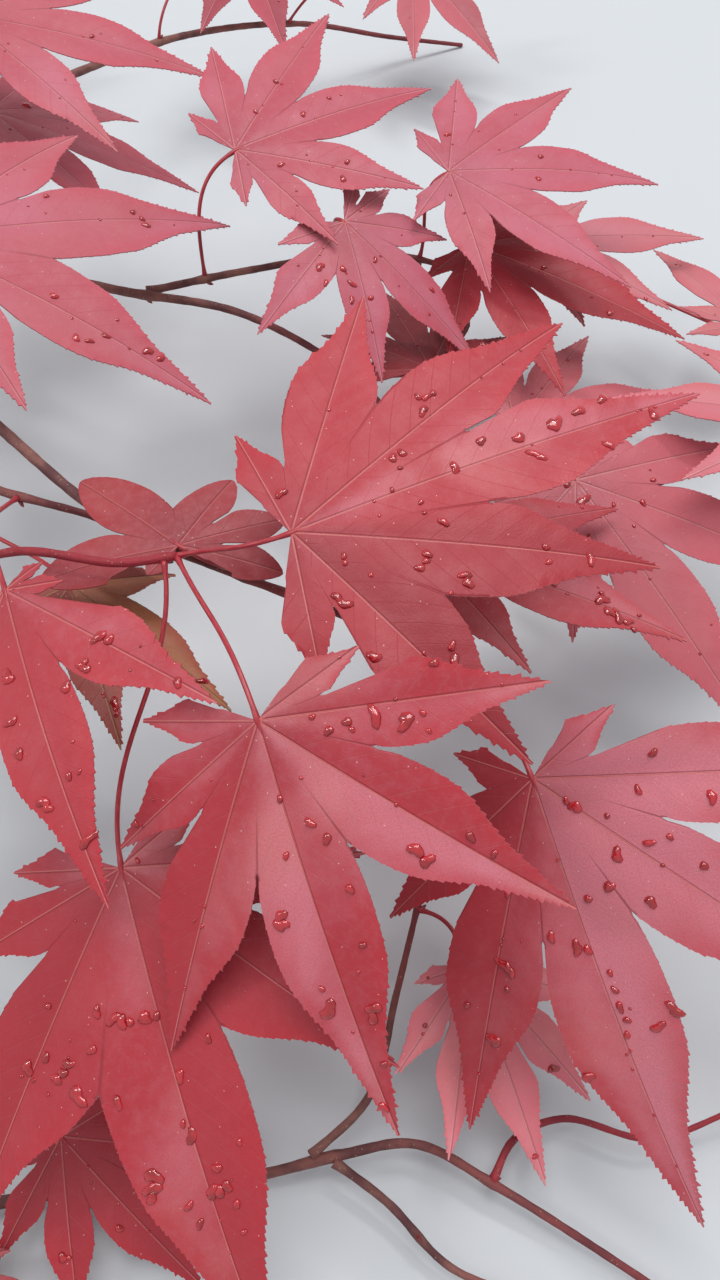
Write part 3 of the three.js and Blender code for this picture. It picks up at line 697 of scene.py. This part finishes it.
def piece(name, bm, materials, nodes=()):
    """Brings a shape to its place in metres as a piece of the branch."""
    bmesh.ops.translate(bm, verts=bm.verts, vec=-MIDDLE)
    bmesh.ops.scale(bm, verts=bm.verts, vec=(MM, MM, MM))
    for face in bm.faces:
        face.smooth = True
    mesh = as_mesh(name, bm)
    for material in materials:
        mesh.materials.append(material)
    made = add(name, mesh)
    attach(made, "root")
    if nodes:
        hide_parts(*nodes)


def sideways(along):
    """The level way square to another."""
    return UP.cross(along).normalized()


def standing(way):
    """Turns what stands upright to a given way."""
    return way.to_track_quat("Z", "Y").to_matrix().to_4x4()


def tube(line, radius_at, sides, rings, material=BARK):
    """A round limb: a cylinder ringed across, each ring laid on the line; the ends stay closed."""
    bm = new_mesh()
    flat, form = bm.loops.layers.uv["leaf"], bm.loops.layers.uv["form"]
    bmesh.ops.create_cone(bm, cap_ends=True, segments=sides, radius1=1, radius2=1, depth=1)
    upright = [e for e in bm.edges if abs(e.verts[0].co.z - e.verts[1].co.z) > 0.5]
    bmesh.ops.subdivide_edges(bm, edges=upright, cuts=rings - 1, use_grid_fill=True)
    for face in bm.faces:
        face.material_index = material
        turns = [atan2(loop.vert.co.y, loop.vert.co.x) / (2 * pi) for loop in face.loops]
        wraps = max(turns) - min(turns) > 0.5
        for loop, turn in zip(face.loops, turns):
            around = turn + 1 if wraps and turn < 0 else turn
            share = loop.vert.co.z + 0.5
            loop[flat].uv = (share * line.length / 10, around * 2 * pi * radius_at(share) / 10)
            loop[form].uv = (share, 0)
    for vert in bm.verts:
        share = min(max(vert.co.z + 0.5, 0.0), 1.0)
        along = line.along(share)
        side = sideways(along)
        top = along.cross(side)
        turn = atan2(vert.co.y, vert.co.x)
        radius = radius_at(share) * hypot(vert.co.x, vert.co.y)
        vert.co = line.at(share) + side * (cos(turn) * radius) + top * (sin(turn) * radius)
    return bm


# ---- leaves

def ease(value, low, high):
    """From 0 to 1 as a value passes from low to high."""
    t = min(max((value - low) / (high - low), 0.0), 1.0)
    return t * t * (3 - 2 * t)


def half_width(one, length, x):
    share = min(max(x / length, 0.0), 1.0)
    widest = LOBE_HALF_WIDTH * one["size"] * (length / one["size"]) ** SHORT_LOBE_WIDTH
    oval = max(sin(pi * share), 0.0) ** one.get("roundness", LOBE_ROUNDNESS)
    if "wide" in one:
        return one["wide"] * widest * oval
    return widest * oval * (1 - TAIL_TAPER * ease(share, *TAIL_TAPER_RUN))


def lobes(one):
    """The plan of each lobe: heading, length, how far and at what angle it parts from the next on
    either side, its teeth, and its own bend, twist and painted tone of sheen and shade."""
    dice = random.Random(one["name"])
    fan = [radians(a) for a in one["fan"]]
    lengths = [share * one["size"] for share in one["reach"]]
    last = len(fan) - 1

    def parting(i):
        shorter = min(lengths[i], lengths[i + 1])
        depth = SINUS_DEPTH * one.get("web", 1.0) * sqrt(lengths[i] * lengths[i + 1])
        return min(depth, DEEPEST_SINUS * shorter)

    plans = []
    for i, (angle, length) in enumerate(zip(fan, lengths)):
        free = (radians(OUTER_HALF_ANGLE), OUTER_PARTING * length)
        right = free if i == 0 else ((angle - fan[i - 1]) / 2, parting(i - 1))
        left = free if i == last else ((fan[i + 1] - angle) / 2, parting(i))
        start = max(right[1] * cos(right[0]), left[1] * cos(left[0]))
        # Painted shade: a positive shift darkens all of a leaf's tones, and a negative one lightens them as
        # painted light.
        deeper = one.get("deeper", 0.0)
        strewn = (dice.uniform(0.2, 0.7) + deeper, dice.uniform(0.2, 0.7) + deeper)
        tones = one.get("tones", {}).get(i, strewn)
        plans.append(dict(
            angle=angle, length=length, right=right, left=left, start=start,
            teeth=max(5, round((length - start) / TOOTH_PITCH)), sag=dice.uniform(-0.01, 0.05) * length,
            twist=dice.uniform(-0.09, 0.09), wave=dice.uniform(0, 2 * pi), tones=tones))
    return plans


def blade_height(one, lobe, x, y, s):
    """The level of a lobe's upper face: folded up from its midrib, rounded off towards its margin,
    drooping outwards, and quilted between its side veins."""
    t = max(0.0, (x - lobe["start"]) / (lobe["length"] - lobe["start"]))
    z = FOLD_RISE * abs(y) * (1 - FOLD_ROUNDING * abs(s)) - BLADE_DROOP * (x * x + y * y) / one["size"]
    z -= lobe["sag"] * t * t - lobe["twist"] * y * t
    side = 1.2 if s > 0 else 0
    z += MARGIN_WAVE * sin(x / MARGIN_WAVE_RUN + lobe["wave"] + side) * s * s * min(1.0, 3 * t) * (1 - t)
    phase = (x - VEIN_SLANT * abs(y) - VEIN_BEND * y * y) / VEIN_PITCH + (VEIN_STAGGER if s > 0 else 0)
    z += QUILTING * cos(2 * pi * phase) * min(1.0, abs(y) / 3) * (1 - s * s)
    return z + BLADE_LEVEL


def margin(one, lobe, half_angle, parting, dice):
    """One side of a lobe: straight out to where it parts from its neighbour, then toothed to the
    tip with teeth that lean forwards, fine at first and longer at the narrow end."""
    length, teeth = lobe["length"], lobe["teeth"]
    begin, wide = parting * cos(half_angle), parting * sin(half_angle)
    spare = wide - half_width(one, length, begin)
    row = [(begin * k / INNER_STATIONS, wide * k / INNER_STATIONS) for k in range(INNER_STATIONS + 1)]
    depth = TOOTH_DEPTH * sqrt(length / TOOTHED_LENGTH) * one.get("toothed", 1.0)
    limit = tan(half_angle)
    free = length - begin
    ends = [0, *(k + dice.uniform(-TOOTH_JITTER, TOOTH_JITTER) for k in range(1, teeth)), teeth]
    for k in range(teeth):
        out = (1.0 if k % 2 else SHORT_TOOTH) * dice.uniform(*TOOTH_SPREAD)
        pitch = ends[k + 1] - ends[k]
        for q, tip in (((ends[k] + TOOTH_TIP * pitch) / teeth, True), (ends[k + 1] / teeth, False)):
            x = begin + free * q
            y = half_width(one, length, x) + spare * (1 - q) ** 3
            if tip:
                stands = depth * out * (0.2 + q ** 1.6) * min(1.0, (1 - q) * 9 + 0.2)
                x += min(stands * TOOTH_FORWARDS, 0.24 * pitch * free / teeth)
                y += stands * TOOTH_OUT
            row.append((min(x, length), min(y, x * limit - MARGIN_GAP) if q < 0.4 else y))
    row[-1] = (length, 0.0)
    return row


def turned(x, y, z, angle):
    """A point of a lobe in its leaf, by the lobe's heading."""
    return Vector((x * cos(angle) - y * sin(angle), x * sin(angle) + y * cos(angle), z))


def blade(one):
    """The blade in its own plane: one gridded lobe after another, joined where they share an edge."""
    dice = random.Random(one["name"] + "teeth")
    bm = new_mesh()
    plans = lobes(one)
    for i, lobe in enumerate(plans):
        length, teeth = lobe["length"], lobe["teeth"]
        next_tones = (plans[i - 1]["tones"][1] if i else lobe["tones"][0],
                      plans[i + 1]["tones"][0] if i + 1 < len(plans) else lobe["tones"][1])
        rows = {-1: margin(one, lobe, *lobe["right"], dice), 1: margin(one, lobe, *lobe["left"], dice)}
        middle = (rows[-1][INNER_STATIONS][0] + rows[1][INNER_STATIONS][0]) / 2
        stations = INNER_STATIONS + 2 * teeth
        part = new_mesh()
        flat, form, tone = (part.loops.layers.uv[name] for name in UV_MAPS)
        bmesh.ops.create_grid(part, x_segments=stations, y_segments=ACROSS, size=1)
        spots = {}
        for vert in part.verts:
            k = round((vert.co.x + 1) / 2 * stations)
            s = vert.co.y
            edge_x, edge_y = rows[1 if s >= 0 else -1][k]
            if k <= INNER_STATIONS:
                mid = middle * k / INNER_STATIONS
            else:
                mid = middle + (length - middle) * (k - INNER_STATIONS) / (2 * teeth)
            spots[vert] = (mid + (edge_x - mid) * abs(s), edge_y * s, s)
        for face in part.faces:
            side = 1 if face.calc_center_median().y > 0 else 0
            for loop in face.loops:
                x, y, s = spots[loop.vert]
                past = x - lobe["start"]
                parted = past / (length - lobe["start"]) if past > 0 else past / lobe["start"]
                blend = 0.5 * s * s * (1 - ease(parted, 0, 0.4))
                own = lobe["tones"][side]
                loop[flat].uv = (x / 10, y / 10)
                loop[form].uv = (min(x / length, 1.0), s)
                loop[tone].uv = (own + (next_tones[side] - own) * blend, parted)
        for vert, (x, y, s) in spots.items():
            vert.co = turned(x, y, blade_height(one, lobe, x, y, s), lobe["angle"])
        pour(part, bm)
    bmesh.ops.remove_doubles(bm, verts=bm.verts, dist=WELD)
    bmesh.ops.recalc_face_normals(bm, faces=bm.faces)
    if sum(face.normal.z for face in bm.faces) < 0:
        bmesh.ops.reverse_faces(bm, faces=bm.faces)
    raised = bmesh.ops.extrude_face_region(bm, geom=bm.faces[:], use_keep_orig=True)["geom"]
    upper = {item for item in raised if isinstance(item, bmesh.types.BMFace)}
    kept = {item for item in raised if isinstance(item, bmesh.types.BMVert)}
    lower = [vert for vert in bm.verts if vert not in kept]
    bmesh.ops.translate(bm, verts=lower, vec=(0, 0, -BLADE_THICKNESS))
    bmesh.ops.recalc_face_normals(bm, faces=bm.faces)
    if next(iter(upper)).normal.z < 0:
        bmesh.ops.reverse_faces(bm, faces=bm.faces)
    bm.normal_update()
    for face in bm.faces:
        face.material_index = UPPER if face.normal.z > UPPER_FACING else UNDER
    for edge in bm.edges:
        edge.smooth = edge.calc_face_angle(0) < radians(CREASE)
    return bm


def leaf_mesh(one):
    """A leaf as it grows: its blade with raised midribs, and its stalk."""
    bm = blade(one)
    for lobe in lobes(one):
        length = lobe["length"]
        thick = RIB_RADIUS * (0.5 + 0.5 * length / one["size"])
        points = []
        for k in range(RIB_POINTS + 1):
            x = length * RIB_REACH * k / RIB_POINTS
            sunk = RIB_SUNK * thick * (1 - RIB_TAPER * k / RIB_POINTS)
            points.append(turned(x, 0, blade_height(one, lobe, x, 0, 0) - sunk, lobe["angle"]))
        rib = tube(Line(points, 3), lambda t, r=thick: r * (1 - RIB_TAPER * t), RIB_SIDES, RIB_RINGS, RIB)
        pour(rib, bm)
    bmesh.ops.transform(bm, matrix=one["pose"], verts=bm.verts)
    line = one["stalk"]

    def thickness(t):
        foot = exp(-(t * line.length / STALK_FOOT_RUN) ** 2)
        left = (1 - t) * line.length
        head = exp(-((left - STALK_SUNK - STALK_HEAD_RUN / 2) / STALK_HEAD_RUN) ** 2)
        swell = 1 + STALK_FOOT * foot + STALK_HEAD * head
        return STALK_RADIUS * swell * (STALK_END + (1 - STALK_END) * ease(left, 0, STALK_SUNK))

    pour(tube(line, thickness, STALK_SIDES, max(14, round(line.length / STALK_RING_PITCH)), RIB), bm)
    return bm


# ---- twigs

def bud(point, along, out, size):
    """A pointed bud pressed to its twig, leaning outwards."""
    bm = new_mesh()
    bmesh.ops.create_uvsphere(bm, u_segments=10, v_segments=8, radius=1)
    for vert in bm.verts:
        z = vert.co.z
        narrow = 0.52 * (1 - 0.35 * max(z, 0) ** 1.5)
        narrow *= 1 + 0.12 * cos(3 * atan2(vert.co.y, vert.co.x) + z * 2)
        vert.co = Vector((vert.co.x * narrow, vert.co.y * narrow, z * 1.25 + 0.9))
    lean = standing((along * 0.8 + out * 0.6).normalized())
    bmesh.ops.scale(bm, verts=bm.verts, vec=(size, size, size))
    bmesh.ops.transform(bm, matrix=Matrix.Translation(point) @ lean, verts=bm.verts)
    for face in bm.faces:
        face.material_index = BUD
    return bm


def saw(bm, line):
    """Makes a limb's foot a clean cut: a face of bare wood within a rim of bark."""
    foot = min(bm.faces, key=lambda face: (face.calc_center_median() - line.at(0)).length)
    bmesh.ops.inset_individual(bm, faces=[foot], thickness=CUT_RIM)
    foot.material_index = SAWN
    flat = bm.loops.layers.uv["leaf"]
    across = sideways(foot.normal)
    up = foot.normal.cross(across)
    middle = foot.calc_center_median()
    for loop in foot.loops:
        away = loop.vert.co - middle
        loop[flat].uv = (away.dot(across) / 10, away.dot(up) / 10)


def limb_mesh(name, limb):
    """A limb in its bark, with a knot and a bud wherever it bears something."""
    dice = random.Random(name)
    line = limb["curve"]
    foot = limb["radii"][0]
    knots = sorted({round(share, 2) for share in limb["joins"]})
    size = 1.0 if knots else BARE_KNOT_SIZE
    knots = [share for share in knots or BARE_KNOTS if share < AT_TIP]

    def radius(t):
        swell = sum(KNOT_SWELL * size * exp(-((t - at) * line.length / (1.1 * foot + 0.6)) ** 2)
                    for at in knots)
        if "stem" in limb:
            swell += ROOT_FLARE * exp(-(t * line.length / (1.6 * foot)) ** 2)
        ripple = 0.03 * sin(t * line.length * 0.9) + 0.02 * sin(t * line.length * 2.3 + 1)
        return radius_on(limb, t) * (1 + swell + ripple) - BARK_SUNK

    sides = 16 if foot > 2 else 12
    bm = tube(line, radius, sides, max(12, round(line.length / LIMB_RING_PITCH)))
    if "stem" not in limb:
        saw(bm, line)
    for share in knots:
        turn = dice.uniform(0, 2 * pi)
        along = line.along(share)
        side = sideways(along)
        out = side * cos(turn) + along.cross(side) * sin(turn)
        if (line.at(share) + out * BUD_REACH).z > BUD_LEVEL:
            pour(bud(line.at(share) + out * radius(share) * 0.8, along, out, BUD_SIZE), bm)
    if not any(share > AT_TIP for share in limb["joins"]):
        along = line.along(1)
        side = sideways(along)
        for way in (-1, 1):
            pour(bud(line.at(1) - along * 1.2, along, side * way * 0.5, TIP_BUD_SIZE), bm)
    return bm


# ---- rain

# Drops that the photograph shows: its pixel across and down, and the drop's width in millimetres.
RAIN_SEEN = {
    "leaf_centre": [
        (375, 716, 3.4), (406, 721, 3.4), (347, 722, 2), (423, 713, 1.4), (429, 731, 1.2),
        (301, 778, 0.9), (280, 799, 1.6), (310, 823, 2.2), (327, 839, 2.2), (286, 856, 1.6),
        (350, 889, 2), (471, 837, 2), (416, 850, 3), (427, 861, 2.8), (494, 854, 1.6),
        (281, 916, 2.6), (281, 925, 3), (358, 972, 1), (322, 989, 1.4), (329, 1010, 3.6),
        (374, 1008, 2.8), (373, 1018, 2.6), (384, 1064, 1.6), (384, 1107, 2)],
    "leaf_upper_centre": [
        (433, 393, 1.8), (418, 397, 1.8), (423, 411, 2.6), (402, 453, 2.2), (400, 468, 1.3),
        (392, 490, 1.3), (481, 441, 2.4), (455, 468, 2.6), (421, 502, 1.5), (555, 424, 3.8),
        (602, 399, 2.6), (653, 414, 3), (519, 438, 2.8), (534, 454, 2.8), (541, 457, 2.4),
        (609, 445, 2.6), (427, 554, 2.2), (426, 561, 1.8), (420, 568, 2.2), (465, 575, 2.4),
        (468, 583, 2.6), (451, 593, 1.2), (546, 547, 1.8), (549, 562, 1.6), (344, 556, 1.6),
        (345, 563, 1.4), (371, 575, 1.2), (337, 597, 2.4), (345, 604, 2.8), (374, 657, 2.8),
        (350, 667, 2.6), (452, 646, 2), (455, 662, 3), (434, 663, 1.8), (281, 493, 2.6)],
    "leaf_under_upper": [
        (602, 600, 3.4), (609, 612, 3), (618, 617, 3.6), (628, 622, 2.6), (634, 630, 1.8)],
    "leaf_left": [
        (98, 638, 3.2), (109, 640, 2.4), (82, 664, 2.6), (86, 669, 2.2), (8, 677, 3.2),
        (66, 687, 2.6), (11, 722, 2.6), (19, 754, 2.4), (69, 776, 1.8), (43, 802, 2.6),
        (48, 808, 2.2), (88, 840, 3.2), (99, 828, 1.4)],
    "leaf_lower_left": [
        (48, 1006, 1.6), (97, 1012, 2.4), (114, 1019, 2.8), (122, 1022, 2.8), (130, 1022, 2),
        (145, 1018, 3), (157, 1016, 1.8), (28, 1068, 3), (46, 1058, 2.2), (57, 1079, 2.6),
        (63, 1073, 2.4), (69, 1064, 2.6), (92, 1050, 2.2), (78, 1096, 4), (118, 1102, 2.4),
        (180, 1076, 2.6), (183, 1124, 1.6), (192, 1136, 3), (154, 1176, 3.6), (153, 1188, 3.4),
        (152, 1198, 2.6), (217, 1168, 2.2), (227, 1186, 2.4), (220, 1192, 2.6), (212, 1192, 3),
        (189, 1206, 2), (200, 1224, 2), (237, 1204, 1.8)],
    "leaf_right": [
        (653, 753, 2), (638, 790, 2), (575, 807, 3), (566, 801, 1.8), (607, 816, 1.4),
        (649, 843, 2.2), (665, 818, 1.6), (670, 837, 1.6), (617, 855, 3), (609, 887, 2.6),
        (704, 866, 2), (651, 902, 2.6), (588, 899, 2), (551, 937, 2.4), (577, 948, 3),
        (588, 950, 2.2), (682, 993, 2.8), (675, 1010, 3.4), (658, 1027, 2.8), (588, 1077, 2.8),
        (610, 973, 1.6), (615, 990, 1.8), (620, 1007, 2.2), (627, 1020, 1.8), (627, 1035, 1.8),
        (505, 966, 3.4), (511, 972, 2.4), (494, 1040, 3.4), (467, 1005, 1.8), (712, 797, 2.6)],
    "leaves_above": [
        (146, 225, 2.8), (142, 219, 2), (133, 212, 2), (46, 196, 1.8), (54, 296, 2.2),
        (76, 338, 2.4), (106, 336, 2.2), (148, 351, 2.8), (161, 358, 2.6), (303, 114, 2),
        (281, 165, 2), (347, 162, 1.8), (343, 179, 2.4), (320, 267, 2.8), (343, 269, 2.2),
        (352, 284, 2.4), (352, 300, 2.2), (326, 283, 2), (343, 318, 1.8), (371, 298, 1.8),
        (262, 281, 2.2), (432, 290, 1.8), (541, 194, 2.2), (610, 313, 2.4), (583, 501, 3.6),
        (567, 484, 2.4), (643, 503, 2), (678, 552, 3)],
}
RAIN_SEEN_SIZE = 0.85
RAIN_ON_LEAF = 0.24  # small drops that a leaf gets for each millimetre of its longest lobe
RAIN_RUN, RAIN_ACROSS = (0.15, 0.88), 0.8  # the stretch of a lobe that they lie on
RAIN_WIDTH, RAIN_WIDTH_SPREAD = 0.6, 1.9
MIDRIB_BEADS = 0.35  # the share of them that hang along the midribs
BEAD_ACROSS, BEAD_WIDTH = 0.1, (0.5, 0.9)
DROP_HEIGHT = 0.34  # a small drop's, as a share of its width
WIDE_DROP_HEIGHT, WIDE_DROP_RISE = 0.38, 0.09  # a wide one's at least, and more for its width
DROP_UNEVEN, MOST_UNEVEN = 0.12, 0.36  # how uneven its outline is for its width, and at most
DROP_SUNK = 0.2  # how far a drop's foot is below its widest ring, as a share of its height
FALL_FROM, FALL = 8, 20  # how high over its leaf a small drop starts, and how far it may fall


def drop(place, normal, width, dice):
    """A drop on a leaf: a low dome, the wider the more uneven in outline."""
    bm = new_mesh()
    bmesh.ops.create_uvsphere(bm, u_segments=12, v_segments=8, radius=1)
    cut = bmesh.ops.bisect_plane(bm, geom=bm.verts[:] + bm.edges[:] + bm.faces[:], dist=1e-5,
                                 plane_co=(0, 0, -DROP_SUNK), plane_no=(0, 0, -1), clear_outer=True)
    rim = [item for item in cut["geom_cut"] if isinstance(item, bmesh.types.BMEdge)]
    bmesh.ops.contextual_create(bm, geom=rim)
    uneven = min(MOST_UNEVEN, DROP_UNEVEN * width)
    twofold, threefold = dice.uniform(0, 2 * pi), dice.uniform(0, 2 * pi)
    drawn = dice.uniform(1, 1 + uneven)
    height = min(DROP_HEIGHT * width, WIDE_DROP_HEIGHT + WIDE_DROP_RISE * width)
    for vert in bm.verts:
        turn = atan2(vert.co.y, vert.co.x)
        reach = (1 + uneven * (cos(2 * turn + twofold) + 0.6 * cos(3 * turn + threefold))) * width / 2
        vert.co = Vector((vert.co.x * reach * drawn, vert.co.y * reach / drawn, vert.co.z * height))
    spin = Matrix.Rotation(dice.uniform(0, 2 * pi), 4, "Z")
    bmesh.ops.transform(bm, matrix=Matrix.Translation(place) @ standing(normal) @ spin, verts=bm.verts)
    return bm


def in_view(trees, across, down):
    """Where the line of sight through a pixel of the photograph first meets a leaf."""
    step = SENSOR / (PICTURE[1] * LENS)
    tilt = radians(VIEW_TILT)
    up, ahead = Vector((0, cos(tilt), sin(tilt))), Vector((0, sin(tilt), -cos(tilt)))
    ray = Vector(((across - PICTURE[0] / 2) * step, 0, 0)) + up * (PICTURE[1] / 2 - down) * step + ahead
    hits = [tree.ray_cast(EYE, ray) for tree in trees.values()]
    return min((hit for hit in hits if hit[0] is not None), key=lambda hit: hit[3], default=None)


def rain(trees):
    """All the drops: those that the photograph shows, then small ones strewn over every leaf."""
    dice = random.Random("rain")
    bm = new_mesh()
    for spots in RAIN_SEEN.values():
        for across, down, width in spots:
            hit = in_view(trees, across, down)
            if hit:
                pour(drop(hit[0], hit[1], width * RAIN_SEEN_SIZE, dice), bm)
    for one in LEAVES:
        plans = lobes(one)
        top = (one["pose"].to_3x3() @ UP).normalized()
        for _ in range(round(RAIN_ON_LEAF * one["size"] * one.get("rain", 1))):
            lobe = dice.choices(plans, [plan["length"] ** 2 for plan in plans])[0]
            bead = dice.random() < MIDRIB_BEADS
            x = lobe["length"] * dice.uniform(*RAIN_RUN)
            y = half_width(one, lobe["length"], x) * dice.uniform(-RAIN_ACROSS, RAIN_ACROSS)
            if bead:
                y *= BEAD_ACROSS
                width = dice.uniform(*BEAD_WIDTH)
            else:
                width = RAIN_WIDTH + RAIN_WIDTH_SPREAD * dice.random() ** 4
            above = one["pose"] @ turned(x, y, FALL_FROM, lobe["angle"])
            place, normal, _, _ = trees[one["name"]].ray_cast(above, -top, FALL)
            if place and normal.dot(top) > 0.5:
                pour(drop(place, normal, width, dice), bm)
    return bm


# ---- the branch put together

look()
lit()
grow_lines()

floor_shape = bmesh.new()
bmesh.ops.create_grid(floor_shape, x_segments=8, y_segments=8, size=FLOOR_REACH)
floor = add("floor", as_mesh("floor", floor_shape))
floor.data.materials.append(floor_paint())

faces = {tint: leaf_face(tint) for tint in TINTS}
undersides = {tint: leaf_underside(tint) for tint in TINTS}
ribs = rib_paint()
brown_bark = bark("twig_bark", shade(88, 48, 50), shade(138, 92, 82), shade(128, 44, 52), 0.62)
red_bark = bark("shoot_bark", shade(124, 24, 38), shade(158, 48, 54), shade(150, 34, 48), 0.42)
buds = bud_paint()
sawn = cut_wood()

for name, limb in LIMBS.items():
    young = name in SHOOTS
    piece("bark_" + name, limb_mesh(name, limb), [red_bark if young else brown_bark, buds, sawn],
          [name])
leaf_trees = {}
for one in LEAVES:
    tint = one["tint"]
    shape = leaf_mesh(one)
    leaf_trees[one["name"]] = BVHTree.FromBMesh(shape)
    paint = one.get("paint", tint)
    piece("blade_" + one["name"], shape, [faces[paint], undersides[paint], ribs],
          [one["name"]])
piece("rain_drops", rain(leaf_trees), [water_paint()])
